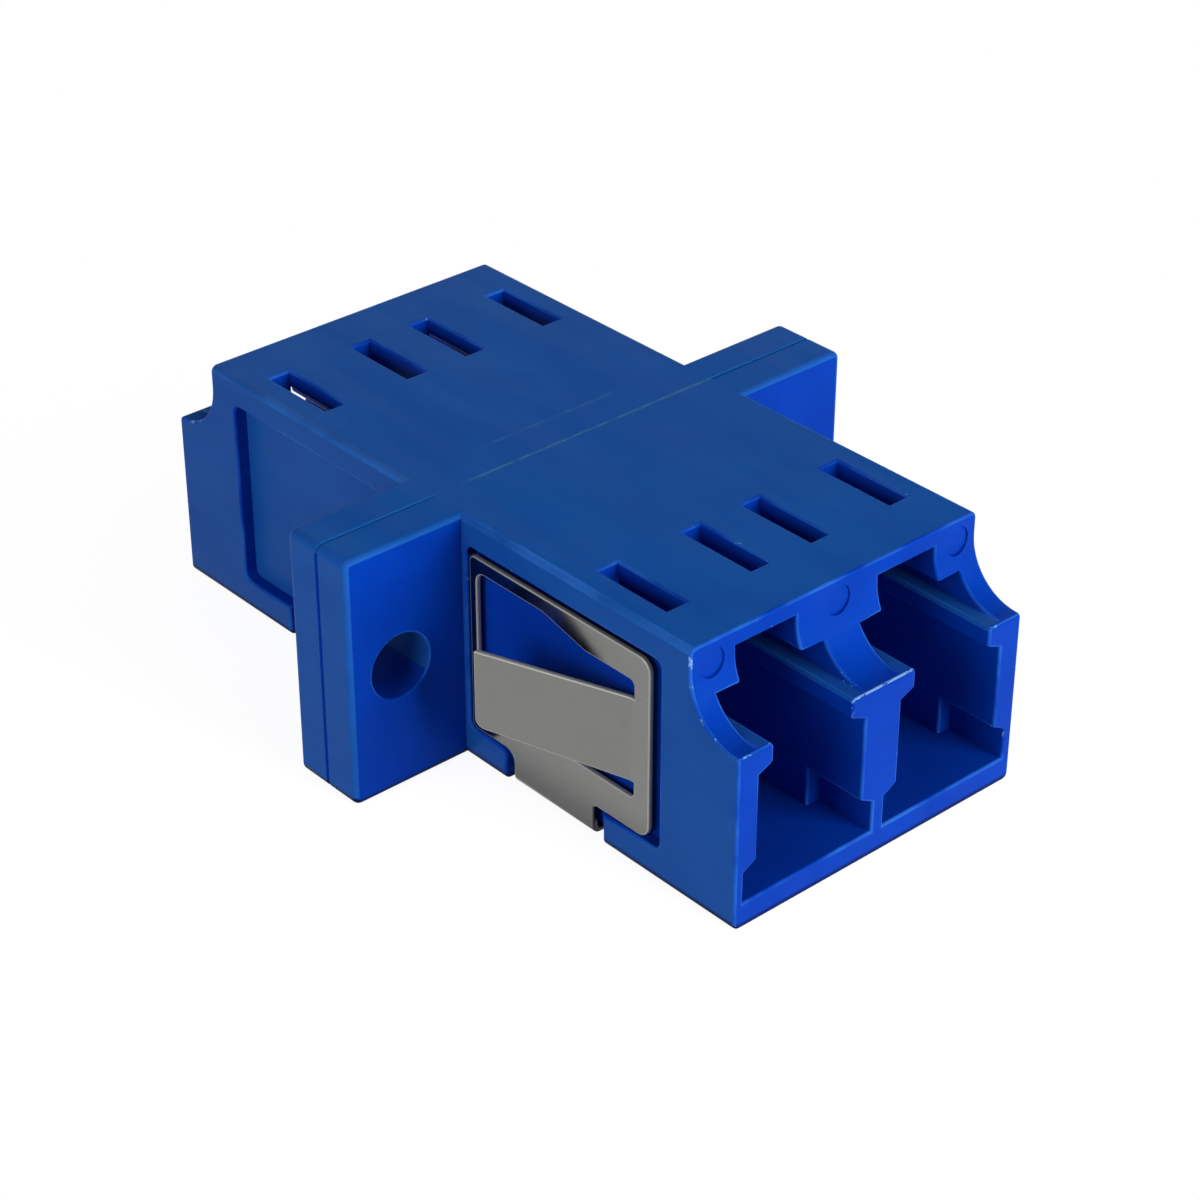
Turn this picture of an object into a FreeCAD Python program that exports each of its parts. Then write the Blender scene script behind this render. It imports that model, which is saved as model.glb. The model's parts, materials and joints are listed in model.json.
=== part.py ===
import FreeCAD, Part
import math
import os

from FreeCAD import Vector

# Duplex fibre adapter: two equal housing halves back to back, a folded spring clip and two split sleeves.
# Millimetres. X runs across the panel flange, -Y out of the front ports, Z up from the underside.
# The parting plane between the halves is y = 0, and the origin is at the middle of the underside.

# Ferrules and the split sleeves that line them up
ferrule_diameter = 1.25
sleeve_grip = 0.003
sleeve_outer_diameter = 1.62
sleeve_length = 6.6
sleeve_slot_width = 0.35
sleeve_end_chamfer = 0.08

# Moulded holders round the sleeves
holder_bore_clearance = 0.1
holder_wall = 0.5
holder_end_clearance = 0.05
holder_lip_thickness = 0.4
holder_lip_clearance = 0.075
holder_lead_in = 0.2

# Port section, from the floor up
port_pitch = 6.25
cavity_width = 4.61
floor_thickness = 0.95
plug_space_height = 4.85
rail_height = 0.7
rail_reach = 0.58
rail_undercut = 0.25
rail_edge_radius = 0.15
lug_slot_height = 1.05
latch_slot_width = 2.6
shoulder_height = 1.2
roof_thickness = 0.65
outer_wall = 0.92

# Port depth, from the parting plane forwards
half_length = 14.6
bulkhead_half_thickness = 1.5
latch_window_start = 7.05
latch_window_length = 3.19
latch_window_width = 0.82
latch_window_spacing = 3.6
ledge_reach = 2.2
ledge_edge_radius = 0.15

# Relief that widens the mouth beside the floor
relief_width = 5.7
relief_depth = 2.4
relief_side_height = 1.15
relief_slope_rise = 0.3

# Marks that the ejector pins leave on the recessed mouth
ejector_mark_diameter = 1.06
ejector_mark_depth = 0.06
ejector_mark_drop = 0.8
ejector_mark_inset = 0.9

# Panel flange
flange_half_thickness = 1.5
screw_spacing = 18.0
screw_hole_diameter = 2.4
screw_edge_distance = 2.1

# Locating pins in the mating faces
pin_diameter = 1.2
pin_length = 0.8
pin_clearance = 0.05
pin_end_clearance = 0.1

# Moulded edges
outer_edge_radius = 0.25
flange_corner_radius = 0.3
flange_edge_radius = 0.2
seam_chamfer = 0.08

# Spring clip
clip_thickness = 0.2
clip_seat_clearance = 0.02
clip_side_clearance = 0.2
clip_bend_radius = 0.1
clip_frame_length = 8.75
clip_frame_height = 6.77
clip_frame_lift = 1.23
clip_flange_gap = 0.25
clip_front_corner_radius = 0.5
clip_rear_corner_radius = 0.25
clip_front_strip = 0.73
clip_rear_strip = 0.35
clip_top_strip = 0.55
clip_bottom_strip = 1.27
clip_web_width = 4.0
clip_web_setback = 2.13
clip_web_rear_fillet = 0.45
clip_web_front_fillet = 0.15

# Bent-out tongue of the clip
tongue_root_height = 3.18
tongue_tip_height = 2.92
tongue_lower_slot = 0.6
tongue_upper_slot = 0.67
tongue_slot_run = 2.3
tongue_slot_taper = 2.1
tongue_root_flat = 0.05
tongue_bend_radius = 0.6
tongue_length = 5.58
tongue_angle = 20.3
tongue_tip_radius = 0.35
slot_corner_radius = 0.22
window_corner_radius = 0.4

# Pocket in the housing's sides for the clip
pocket_depth = 0.5
pocket_corner_radius = 0.3
pocket_rear_clearance = 0.05
pocket_front_clearance = 0.59
pocket_top_clearance = 0.33
pocket_bottom_clearance = 0.02
band_recess_depth = 0.25
band_rear_clearance = 0.3
band_front_clearance = 0.55
channel_corner_radius = 0.35

# How near a line has to run to a place, and how little it may stray in a millimetre, to be the edge meant there
edge_distance = 0.001

# Sizes that follow from those above
sleeve_bore_diameter = ferrule_diameter - sleeve_grip
holder_bore_radius = sleeve_outer_diameter / 2 + holder_bore_clearance
holder_radius = holder_bore_radius + holder_wall
holder_seat = sleeve_length / 2 + holder_end_clearance
holder_tip = holder_seat + holder_lip_thickness
lip_radius = ferrule_diameter / 2 + holder_lip_clearance
ferrule_height = floor_thickness + cavity_width / 2
rail_bottom = floor_thickness + plug_space_height
rail_top = rail_bottom + rail_height
shoulder_bottom = rail_top + lug_slot_height
ceiling = shoulder_bottom + shoulder_height
body_height = ceiling + roof_thickness
body_width = port_pitch + cavity_width + 2 * outer_wall
catch_face = latch_window_start + latch_window_length
mouth = half_length - ledge_reach
scoop_radius = ledge_reach - ledge_edge_radius
flange_width = screw_spacing + 2 * screw_edge_distance
port_centres = (-port_pitch / 2, port_pitch / 2)
pocket_floor = body_width / 2 - pocket_depth
clip_inner = pocket_floor + clip_side_clearance
clip_outer = clip_inner + clip_thickness
clip_rear = flange_half_thickness + clip_flange_gap
clip_front = clip_rear + clip_frame_length
clip_top = clip_frame_lift + clip_frame_height
band_top = band_recess_depth - clip_seat_clearance
band_bottom = band_top - clip_thickness
web_rear = clip_rear + clip_web_setback
web_front = web_rear + clip_web_width
window_front = clip_front - clip_front_strip
window_rear = clip_rear + clip_rear_strip
window_bottom = clip_frame_lift + clip_bottom_strip
window_top = clip_top - clip_top_strip
tongue_bottom = window_bottom + tongue_lower_slot
tongue_top = tongue_bottom + tongue_root_height
overshoot = 1.0


def block(x0, y0, z0, x1, y1, z1):
    """A box between two corners."""
    return Part.makeBox(x1 - x0, y1 - y0, z1 - z0, Vector(x0, y0, z0))


def prism_along_x(points, half_width):
    """A straight-sided outline of (y, z) points, extruded evenly to both sides of x = 0."""
    wire = Part.makePolygon([Vector(-half_width, y, z) for y, z in points + points[:1]])
    return Part.Face(wire).extrude(Vector(2 * half_width, 0, 0))


def prism_along_y(points, y0, y1):
    """A straight-sided outline of (x, z) points, extruded from y0 to y1."""
    wire = Part.makePolygon([Vector(x, y0, z) for x, z in points + points[:1]])
    return Part.Face(wire).extrude(Vector(0, y1 - y0, 0))


def quarter_arc(centre, start, end, radius):
    """The quarter circle about centre that leads from start to end, in the plane of the three points."""
    chord_middle = (start + end) / 2
    outward = (chord_middle - centre).normalize()
    return Part.Arc(start, centre + outward * radius, end).toShape()


def edges_along(shape, axis, places):
    """The straight edges of a shape that run along one axis and pass near one of the places."""
    found = []
    for edge in shape.Edges:
        if not isinstance(edge.Curve, Part.Line):
            continue
        start, end = edge.Vertexes[0].Point, edge.Vertexes[-1].Point
        if (end - start).normalize().cross(axis).Length > edge_distance:
            continue
        middle = (start + end) / 2
        for place in places:
            offset = middle - place
            if (offset - axis * offset.dot(axis)).Length < edge_distance:
                found.append(edge)
    return found


def housing_body():
    """The outside of one half: a bar whose mouth is set back above a ledge and scooped down to it."""
    scoop_centre_y = -mouth - scoop_radius
    scoop_top = rail_top + scoop_radius
    edge_centre_z = rail_top - ledge_edge_radius
    left = -body_width / 2
    corner = [
        Vector(left, 0, 0),
        Vector(left, -half_length, 0),
        Vector(left, -half_length, edge_centre_z),
        Vector(left, scoop_centre_y, rail_top),
        Vector(left, -mouth, scoop_top),
        Vector(left, -mouth, body_height),
        Vector(left, 0, body_height),
    ]
    edge_centre = Vector(left, scoop_centre_y, edge_centre_z)
    scoop_centre = Vector(left, scoop_centre_y, scoop_top)
    outline = Part.Wire([
        Part.makeLine(corner[0], corner[1]),
        Part.makeLine(corner[1], corner[2]),
        quarter_arc(edge_centre, corner[2], corner[3], ledge_edge_radius),
        quarter_arc(scoop_centre, corner[3], corner[4], scoop_radius),
        Part.makeLine(corner[4], corner[5]),
        Part.makeLine(corner[5], corner[6]),
        Part.makeLine(corner[6], corner[0]),
    ])
    body = Part.Face(outline).extrude(Vector(body_width, 0, 0))
    side = body_width / 2
    long_edges = [Vector(x, 0, z) for x in (-side, side) for z in (0, body_height)]
    return body.makeFillet(outer_edge_radius, edges_along(body, Vector(0, 1, 0), long_edges))


def flange_half():
    """One half of the panel flange, rounded outside and with a fine chamfer round its mating face."""
    side = flange_width / 2
    plate = block(-side, -flange_half_thickness, 0, side, 0, body_height)
    corners = [Vector(x, 0, z) for x in (-side, side) for z in (0, body_height)]
    plate = plate.makeFillet(flange_corner_radius, edges_along(plate, Vector(0, 1, 0), corners))
    front_rim = [e for e in plate.Edges if abs(e.CenterOfMass.y + flange_half_thickness) < edge_distance]
    plate = plate.makeFillet(flange_edge_radius, front_rim)
    mating_rim = [e for e in plate.Edges if abs(e.CenterOfMass.y) < edge_distance]
    return plate.makeChamfer(seam_chamfer, mating_rim)


def port_section(centre):
    """The section of one port: floor, guide rails, slot for the latch lugs and slot for the latch arm."""
    wall = cavity_width / 2
    rail = wall - rail_reach
    latch = latch_slot_width / 2
    right = [
        (wall, floor_thickness),
        (wall, rail_bottom - rail_undercut),
        (rail, rail_bottom),
        (rail, rail_top),
        (wall, rail_top),
        (wall, shoulder_bottom),
        (latch, shoulder_bottom),
        (latch, ceiling),
    ]
    left = [(-x, z) for x, z in reversed(right)]
    return [(centre + x, z) for x, z in right + left]


def port_cut(centre):
    """All that is taken out of a half for one port: cavity, mouth relief, latch pocket and windows."""
    cavity = prism_along_y(port_section(centre), -half_length - overshoot, -bulkhead_half_thickness)
    rail_offset = cavity_width / 2 - rail_reach
    rail_edges = [Vector(centre + x, 0, z) for x in (-rail_offset, rail_offset) for z in (rail_bottom, rail_top)]
    cavity = cavity.makeFillet(rail_edge_radius, edges_along(cavity, Vector(0, 1, 0), rail_edges))
    relief_top = floor_thickness + relief_side_height
    relief_outline = [
        (centre - relief_width / 2, floor_thickness),
        (centre + relief_width / 2, floor_thickness),
        (centre + relief_width / 2, relief_top),
        (centre + cavity_width / 2, relief_top + relief_slope_rise),
        (centre - cavity_width / 2, relief_top + relief_slope_rise),
        (centre - relief_width / 2, relief_top),
    ]
    relief = prism_along_y(relief_outline, -half_length - overshoot, -half_length + relief_depth)
    pocket_half = (latch_window_spacing + latch_window_width) / 2
    latch_pocket = block(
        centre - pocket_half, -catch_face, shoulder_bottom, centre + pocket_half, -latch_window_start, ceiling
    )
    cuts = [cavity, relief, latch_pocket]
    for side in (-1, 1):
        middle = centre + side * latch_window_spacing / 2
        half = latch_window_width / 2
        cuts.append(block(
            middle - half, -catch_face, shoulder_bottom, middle + half, -latch_window_start, body_height + overshoot
        ))
    return cuts


def sleeve_holder(centre):
    """The tube that stands on the bulkhead round one half of a split sleeve."""
    base = Vector(centre, 0, ferrule_height)
    return Part.makeCylinder(holder_radius, holder_tip, base, Vector(0, -1, 0))


def sleeve_seat(centre):
    """The hole of a holder: the sleeve's seat, and a lip in front of it that is flared to lead the ferrule in."""
    forward = Vector(0, -1, 0)
    seat = Part.makeCylinder(
        holder_bore_radius, holder_seat + overshoot, Vector(centre, overshoot, ferrule_height), forward
    )
    flared_lip = Part.makeCone(
        lip_radius, lip_radius + holder_lead_in, holder_lip_thickness,
        Vector(centre, -holder_seat, ferrule_height), forward
    )
    return [seat, flared_lip]


def pocket_outline(rear, front, bottom, top, radius):
    """A rounded rectangle in the Y-Z plane as a face; rear and front are distances from the parting plane."""
    corners = [(-front, bottom), (-rear, bottom), (-rear, top), (-front, top)]
    steps = [(1, 0), (0, 1), (-1, 0), (0, -1)]
    edges = []
    for index, (y, z) in enumerate(corners):
        along_y, along_z = steps[index]
        next_y, next_z = corners[(index + 1) % 4]
        turn_y, turn_z = steps[(index + 1) % 4]
        start = Vector(0, y + along_y * radius, z + along_z * radius)
        end = Vector(0, next_y - along_y * radius, next_z - along_z * radius)
        after = Vector(0, next_y + turn_y * radius, next_z + turn_z * radius)
        centre = end + Vector(0, turn_y, turn_z) * radius
        edges.append(Part.makeLine(start, end))
        edges.append(quarter_arc(centre, end, after, radius))
    return Part.Face(Part.Wire(edges))


def clip_pockets():
    """The two side pockets for the clip's frames, and the channel that leads its band round underneath."""
    pocket_bottom = clip_frame_lift - pocket_bottom_clearance
    outline = pocket_outline(
        clip_rear - pocket_rear_clearance, clip_front + pocket_front_clearance,
        pocket_bottom, clip_top + pocket_top_clearance, pocket_corner_radius
    )
    reach = pocket_depth + overshoot
    right = outline.extrude(Vector(reach, 0, 0))
    right.translate(Vector(pocket_floor, 0, 0))
    left = right.mirror(Vector(0, 0, 0), Vector(1, 0, 0))
    rear = -web_rear + band_rear_clearance
    front = -web_front - band_front_clearance
    outside = pocket_floor + reach
    channel = block(-outside, front, -overshoot, outside, rear, clip_frame_lift + pocket_corner_radius)
    kept = block(-pocket_floor, front, band_recess_depth, pocket_floor, rear, body_height)
    lower_edges = [Vector(x, 0, band_recess_depth) for x in (-pocket_floor, pocket_floor)]
    kept = kept.makeFillet(clip_bend_radius, edges_along(kept, Vector(0, 1, 0), lower_edges))
    taken = right.fuse([left, channel.cut(kept)]).removeSplitter()
    rear_corner = [Vector(0, rear, pocket_bottom)]
    return taken.makeFillet(channel_corner_radius, edges_along(taken, Vector(1, 0, 0), rear_corner))


def ejector_marks():
    """The shallow round marks beside and between the ports on the recessed mouth."""
    inset = body_width / 2 - ejector_mark_inset
    height = body_height - ejector_mark_drop
    return [
        Part.makeCylinder(
            ejector_mark_diameter / 2, ejector_mark_depth + overshoot,
            Vector(x, -mouth - overshoot, height), Vector(0, 1, 0)
        )
        for x in (-inset, 0, inset)
    ]


def housing_half():
    """One moulded half with its ports towards -Y and its mating face on y = 0."""
    half = housing_body().fuse(flange_half())
    cuts = []
    for centre in port_centres:
        cuts += port_cut(centre)
    half = half.cut(cuts).fuse([sleeve_holder(centre) for centre in port_centres])
    cuts = [clip_pockets()] + ejector_marks()
    for centre in port_centres:
        cuts += sleeve_seat(centre)
    for x in (-screw_spacing / 2, screw_spacing / 2):
        start = Vector(x, -flange_half_thickness - overshoot, body_height / 2)
        depth = flange_half_thickness + 2 * overshoot
        cuts.append(Part.makeCylinder(screw_hole_diameter / 2, depth, start, Vector(0, 1, 0)))
    socket_depth = pin_length + pin_end_clearance
    socket_place = Vector(port_centres[0], overshoot, rail_top)
    socket_radius = pin_diameter / 2 + pin_clearance
    cuts.append(Part.makeCylinder(socket_radius, socket_depth + overshoot, socket_place, Vector(0, -1, 0)))
    pin_place = Vector(port_centres[1], -bulkhead_half_thickness / 2, rail_top)
    pin_reach = bulkhead_half_thickness / 2 + pin_length
    pin = Part.makeCylinder(pin_diameter / 2, pin_reach, pin_place, Vector(0, 1, 0))
    return half.cut(cuts).fuse(pin).removeSplitter()


def spring_clip():
    """The folded clip: a U of sheet, outlined and pierced in side view, with a tongue bent out of each side."""
    wall = [(-clip_outer, band_bottom), (clip_outer, band_bottom), (clip_outer, clip_top), (-clip_outer, clip_top)]
    room = [(-clip_inner, band_top), (clip_inner, band_top), (clip_inner, clip_top), (-clip_inner, clip_top)]
    outer = prism_along_y(wall, -clip_front, -clip_rear)
    inner = prism_along_y(room, -clip_front, -clip_rear)
    outer_bends = [Vector(x, 0, band_bottom) for x in (-clip_outer, clip_outer)]
    inner_bends = [Vector(x, 0, band_top) for x in (-clip_inner, clip_inner)]
    along_y = Vector(0, 1, 0)
    outer = outer.makeFillet(clip_bend_radius + clip_thickness, edges_along(outer, along_y, outer_bends))
    inner = inner.makeFillet(clip_bend_radius, edges_along(inner, along_y, inner_bends))
    folded = outer.cut(inner).common(clip_side_outline())
    clip = folded.cut(clip_window())
    tongue = clip_tongue()
    return clip.fuse([tongue, tongue.mirror(Vector(0, 0, 0), Vector(1, 0, 0))]).removeSplitter()


def clip_side_outline():
    """The clip's outline in side view: a frame with round corners and the web that leads down from it."""
    reach = clip_outer + overshoot
    frame = block(0, -clip_front, clip_frame_lift, 2 * reach, -clip_rear, clip_top)
    for y, radius in ((-clip_front, clip_front_corner_radius), (-clip_rear, clip_rear_corner_radius)):
        corners = [Vector(0, y, z) for z in (clip_frame_lift, clip_top)]
        frame = frame.makeFillet(radius, edges_along(frame, Vector(1, 0, 0), corners))
    foot = block(0, -web_front, -overshoot, 2 * reach, -web_rear, clip_frame_lift + clip_front_corner_radius)
    outline = frame.fuse(foot).removeSplitter()
    for y, radius in ((-web_rear, clip_web_rear_fillet), (-web_front, clip_web_front_fillet)):
        inner_corner = edges_along(outline, Vector(1, 0, 0), [Vector(0, y, clip_frame_lift)])
        outline = outline.makeFillet(radius, inner_corner)
    outline.translate(Vector(-reach, 0, 0))
    return outline


def clip_window():
    """The opening round the tongue: wide towards the flange, narrow slots above and below the root."""
    slot_top = tongue_top + tongue_upper_slot
    slot_end = -window_front + tongue_slot_run
    points = [
        (-window_front, window_bottom),
        (-window_rear, window_bottom),
        (-window_rear, window_top),
        (slot_end + tongue_slot_taper, window_top),
        (slot_end, slot_top),
        (-window_front, slot_top),
    ]
    window = prism_along_x(points, clip_outer + overshoot)
    front_corners = [Vector(0, -window_front, z) for z in (window_bottom, slot_top)]
    window = window.makeFillet(slot_corner_radius, edges_along(window, Vector(1, 0, 0), front_corners))
    rear_corners = [Vector(0, -window_rear, z) for z in (window_bottom, window_top)]
    return window.makeFillet(window_corner_radius, edges_along(window, Vector(1, 0, 0), rear_corners))


def clip_tongue():
    """The left tongue: it leaves the frame's front end, bends out towards the flange and tapers from below."""
    turn = math.radians(tongue_angle)
    root = -window_front - clip_front_strip / 2
    bend = -window_front + tongue_root_flat
    outer = tongue_bend_radius
    inner = tongue_bend_radius + clip_thickness
    axis_x = -clip_outer - tongue_bend_radius

    def on_bend(radius, angle):
        return Vector(axis_x + radius * math.cos(angle), bend + radius * math.sin(angle), tongue_bottom)

    run = Vector(-math.sin(turn), math.cos(turn), 0) * tongue_length
    outer_face = [Vector(-clip_outer, root, tongue_bottom), on_bend(outer, 0), on_bend(outer, turn)]
    inner_face = [Vector(-clip_inner, root, tongue_bottom), on_bend(inner, 0), on_bend(inner, turn)]
    outline = Part.Wire([
        Part.makeLine(outer_face[0], outer_face[1]),
        Part.Arc(outer_face[1], on_bend(outer, turn / 2), outer_face[2]).toShape(),
        Part.makeLine(outer_face[2], outer_face[2] + run),
        Part.makeLine(outer_face[2] + run, inner_face[2] + run),
        Part.makeLine(inner_face[2] + run, inner_face[2]),
        Part.Arc(inner_face[2], on_bend(inner, turn / 2), inner_face[1]).toShape(),
        Part.makeLine(inner_face[1], inner_face[0]),
        Part.makeLine(inner_face[0], outer_face[0]),
    ])
    strip = Part.Face(outline).extrude(Vector(0, 0, tongue_root_height))
    tip = (outer_face[2] + run).y
    tip_bottom = tongue_top - tongue_tip_height
    taper = prism_along_x([
        (root, tongue_bottom),
        (bend, tongue_bottom),
        (tip, tip_bottom),
        (tip, tongue_top),
        (root, tongue_top),
    ], flange_width)
    lower_corner = [Vector(0, tip, tip_bottom)]
    taper = taper.makeFillet(tongue_tip_radius, edges_along(taper, Vector(1, 0, 0), lower_corner))
    return strip.common(taper)


def split_sleeve(centre):
    """A thin ceramic tube with chamfered ends, slotted along its whole length on top."""
    inner = sleeve_bore_diameter / 2
    outer = sleeve_outer_diameter / 2
    end = sleeve_length / 2
    chamfer = sleeve_end_chamfer
    outline = [
        (inner, -end + chamfer),
        (inner + chamfer, -end),
        (outer - chamfer, -end),
        (outer, -end + chamfer),
        (outer, end - chamfer),
        (outer - chamfer, end),
        (inner + chamfer, end),
        (inner, end - chamfer),
    ]
    points = [Vector(centre + radius, y, ferrule_height) for radius, y in outline + outline[:1]]
    tube = Part.Face(Part.makePolygon(points)).revolve(Vector(centre, 0, ferrule_height), Vector(0, 1, 0), 360)
    half_slot = sleeve_slot_width / 2
    top = ferrule_height + outer + overshoot
    slot = block(centre - half_slot, -end - overshoot, ferrule_height, centre + half_slot, end + overshoot, top)
    return tube.cut(slot)


def save(shape, node):
    """Writes one piece, whose solid has to be closed and valid."""
    solid = shape.Solids[0]
    if len(shape.Solids) != 1 or not solid.isValid():
        raise ValueError(node + " is not one valid solid")
    solid.exportStep(os.path.join("parts", node + ".step"))


os.makedirs("parts", exist_ok=True)
front_half = housing_half()
rear_half = front_half.copy()
rear_half.rotate(Vector(0, 0, 0), Vector(0, 0, 1), 180)
save(front_half, "front_housing")
save(rear_half, "rear_housing")
save(spring_clip(), "spring_clip")
save(split_sleeve(port_centres[0]), "split_sleeve_left")
save(split_sleeve(port_centres[1]), "split_sleeve_right")
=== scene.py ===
import json
import math

import bmesh
import bpy
from mathutils import Matrix, Vector


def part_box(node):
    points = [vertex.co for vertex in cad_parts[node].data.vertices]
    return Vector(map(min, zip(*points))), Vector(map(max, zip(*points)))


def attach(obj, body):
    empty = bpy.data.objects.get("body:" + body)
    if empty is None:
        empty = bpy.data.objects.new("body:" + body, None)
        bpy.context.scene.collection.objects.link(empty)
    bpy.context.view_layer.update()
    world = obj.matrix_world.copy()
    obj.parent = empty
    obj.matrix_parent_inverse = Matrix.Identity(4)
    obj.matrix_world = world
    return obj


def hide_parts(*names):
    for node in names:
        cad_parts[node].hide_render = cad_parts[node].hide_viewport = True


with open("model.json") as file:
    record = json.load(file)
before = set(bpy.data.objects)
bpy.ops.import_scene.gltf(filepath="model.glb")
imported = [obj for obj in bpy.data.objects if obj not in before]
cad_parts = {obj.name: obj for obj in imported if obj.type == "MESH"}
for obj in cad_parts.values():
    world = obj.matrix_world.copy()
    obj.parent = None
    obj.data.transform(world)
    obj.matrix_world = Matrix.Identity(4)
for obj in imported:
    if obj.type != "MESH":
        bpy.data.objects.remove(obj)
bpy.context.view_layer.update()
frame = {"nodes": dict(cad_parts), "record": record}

bl_info = {
    "name": "Duplex fibre adapter",
    "version": (1, 0, 0),
    "blender": (4, 5, 0),
    "location": "View3D > Sidebar > Adapter",
    "description": "Softened moulded halves, a stamped steel clip and ceramic sleeves on a pale stage",
    "category": "Object",
}

# Metres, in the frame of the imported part: X across the flange, -Y out of the front ports, Z up
MM = 0.001

# Numbers of the housing's materials and of the clip's
PLAIN, EDGE, TOP, SIDE, ROUND, RIM, STREAK, SEAM, POCKET, SCOOP, FOOT_EDGE, HOLLOW = range(12)
FACE, CUT, SHADED = range(3)

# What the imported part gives: the boxes of the front half and of the clip, and the mount of the panel screws
HALF_LOW, HALF_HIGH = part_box("front_housing")
CLIP_LOW, CLIP_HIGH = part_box("spring_clip")
SCREWS = next(mount for mount in frame["record"]["mounts"] if mount["name"] == "panel_screws")

# Where the outer faces of the halves lie
HEIGHT = HALF_HIGH.z
FLANGE_END = HALF_HIGH.x
FLANGE_FACE = -SCREWS["pos_m"][1]
MOUTH_FRONT = -HALF_LOW.y
BODY_SIDE = 6.35 * MM

# How far out a face counts as the outside of a half, with its pockets bare or with the clip in them
POCKETS_BARE = 5.8 * MM
POCKETS_FILLED = 6.0 * MM

# How near the outer faces their broad rounds lie, and how far from a plane a place still counts as on it
ROUND_ZONE = 0.31 * MM
SLACK = 0.05 * MM

# The top of the ledges and rails beside a port, and how near to it and to the front their rounds lie
LEDGE_TOP = 6.5 * MM
LEDGE_ZONE = 0.2 * MM

# Where the scoops over the ledges begin and end, and half the width of the pier between the ports
SCOOP_BACK = 12.2 * MM
SCOOP_BOTTOM = 5.6 * MM
PIER = 1.5 * MM

# Where the seam and the ejector pins' marks are, which keep their crisp edges
SEAM_ZONE = 0.12 * MM
MOUTH = 12.4 * MM
MARK_ZONE = 0.1 * MM
MARK_BOTTOM = 7.9 * MM
MARK_HEIGHT = 8.6 * MM
MARK_REACH = 0.6 * MM
MARK_PLACES = (-5.445 * MM, 0.0, 5.445 * MM)

# The screw holes, whose rims are sharper than the other edges
HOLE_PLACE = SCREWS["dims"]["spacing_x_mm"] / 2 * MM
HOLE_HEIGHT = SCREWS["pos_m"][2]
HOLE_REACH = 1.4 * MM
HOLE_SHARE = 0.65

# How much of a face's normal points along an axis: a face looks that way above SQUARE, is turned off below
# TURNED, leans that way above TILTED, and doesn't below ASIDE
SQUARE = 0.9
TURNED = 0.99
TILTED = 0.2
ASIDE = 0.1

# The same for single places: along a rail, up on a ledge's round, up on the seam's broken edge, out at the
# sheared edges of the sheet, up or down on the clip's band, and out where the clip folds
RAIL_TILT = 0.05
STREAK_TILT = (0.7, 0.93)
SEAM_TILT = (0.5, 0.9)
CUT_TILT = 0.3
BAND_TILT = 0.5
FOLD_TILT = (0.2, 0.97)

# How near corners are merged, and the turns between faces: they are one flat face below the first, shade
# smoothly below the second, and get a rounded edge above the third
MERGED = 0.0001 * MM
FLAT_TURN = math.radians(0.3)
SMOOTH_TURN = math.radians(40)
SHARP_TURN = math.radians(50)

# Steps of the patterns in a metre along X, Y and Z, and how many times longer than wide a rolling line is
CLOUDS = (420.0, 260.0, 420.0)
FLOW = (900.0, 130.0, 900.0)
RUB_AND_GLINT = (1500.0, 2600.0, 1500.0)
BREAKS = (2200.0, 2200.0, 2200.0)
STAINS = (700.0, 500.0, 700.0)
SPECKLE = (9000.0, 9000.0, 9000.0)
GRINDING = (2500.0, 60000.0, 2500.0)
ROLLED_LENGTH = 60

# The stretches of a pattern, from 0 to 1, over which a tone, a gloss, a break, a stain or a speckle comes in
TONE_STRETCH = (0.35, 0.65)
GLOSS_STRETCH = (0.3, 0.7)
BREAK_STRETCH = (0.36, 0.6)
STAIN_STRETCH = (0.45, 0.75)
SPECKLE_STRETCH = (0.4, 0.7)
MARK_STRETCH = 0.08

# Spots of a second tone on the plastic: rubbed marks, and painted glints on the edges, the ledges' streak and
# the scoops' edges: how strongly they cover, from where in their pattern, and how many times finer
FEW_MARKS = (0.1, 0.66, 1.0)
EDGE_GLINTS = (0.8, 0.66, 1.0)
STREAK_GLINTS = (1.0, 0.4, 1.6)
SCOOP_GLINTS = (0.9, 0.57, 1.2)

# How far the roughness drifts below and above its mean
PLASTIC_DRIFT = (-0.05, 0.06)
STEEL_DRIFT = (-0.03, 0.04)
CERAMIC_DRIFT = (-0.05, 0.08)

# The plastic's refraction, how strong a line is at its breaks and a stain on steel, and how dark stains and
# speckles are beside the plain tone
PLASTIC_IOR = 1.5
BREAK_SHARE = 0.35
STAIN_SHARE = 0.35
STAIN_TONE = 0.93
SPECKLE_TONE = 0.9

# Where the narrow gap round the clip falls into shade, in front of the clip and above it, and where it ends
CLIP_FRONT = -CLIP_LOW.y
CLIP_TOP = CLIP_HIGH.z
GAP_FRONT = (CLIP_FRONT - 0.2 * MM, CLIP_FRONT)
GAP_TOP = (CLIP_TOP - 0.15 * MM, CLIP_TOP)
GAP_END = 11.3 * MM
FRONT_GAP_SHARE = 0.35

# The clip's foot: where it folds under the body, where its front edge is in shade, and how its face is
# painted into shade towards the foot
FOLD = 0.35 * MM
FOOT = 1.5 * MM
WEB_FRONT = 8.6 * MM
WEB_SHADE = (0.1 * MM, 2.3 * MM)
WEB_SHARE = 0.6

# The heights over which the shade at the bottom of a material's faces fades out, and its strength
BOTTOM_SHADES = (
    (PLAIN, 0.14 * MM, 0.28 * MM),
    (SIDE, 0.22 * MM, 0.36 * MM),
    (RIM, 0.22 * MM, 0.36 * MM),
    (POCKET, 0.22 * MM, 0.36 * MM),
)
BOTTOM_SHARE = 0.8

# Faint pale lines on top, partly the weld's line and partly a painted highlight along it: distance behind the
# parting plane, left end, right end, and strength
WELD_LINES = (
    (0.03 * MM, -4.75 * MM, 8.6 * MM, 0.85),
    (1.5 * MM, -2.85 * MM, 2.93 * MM, 0.4),
)
LINE_WIDTH = (0.03 * MM, 0.09 * MM)
LINE_END = 0.6 * MM

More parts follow.
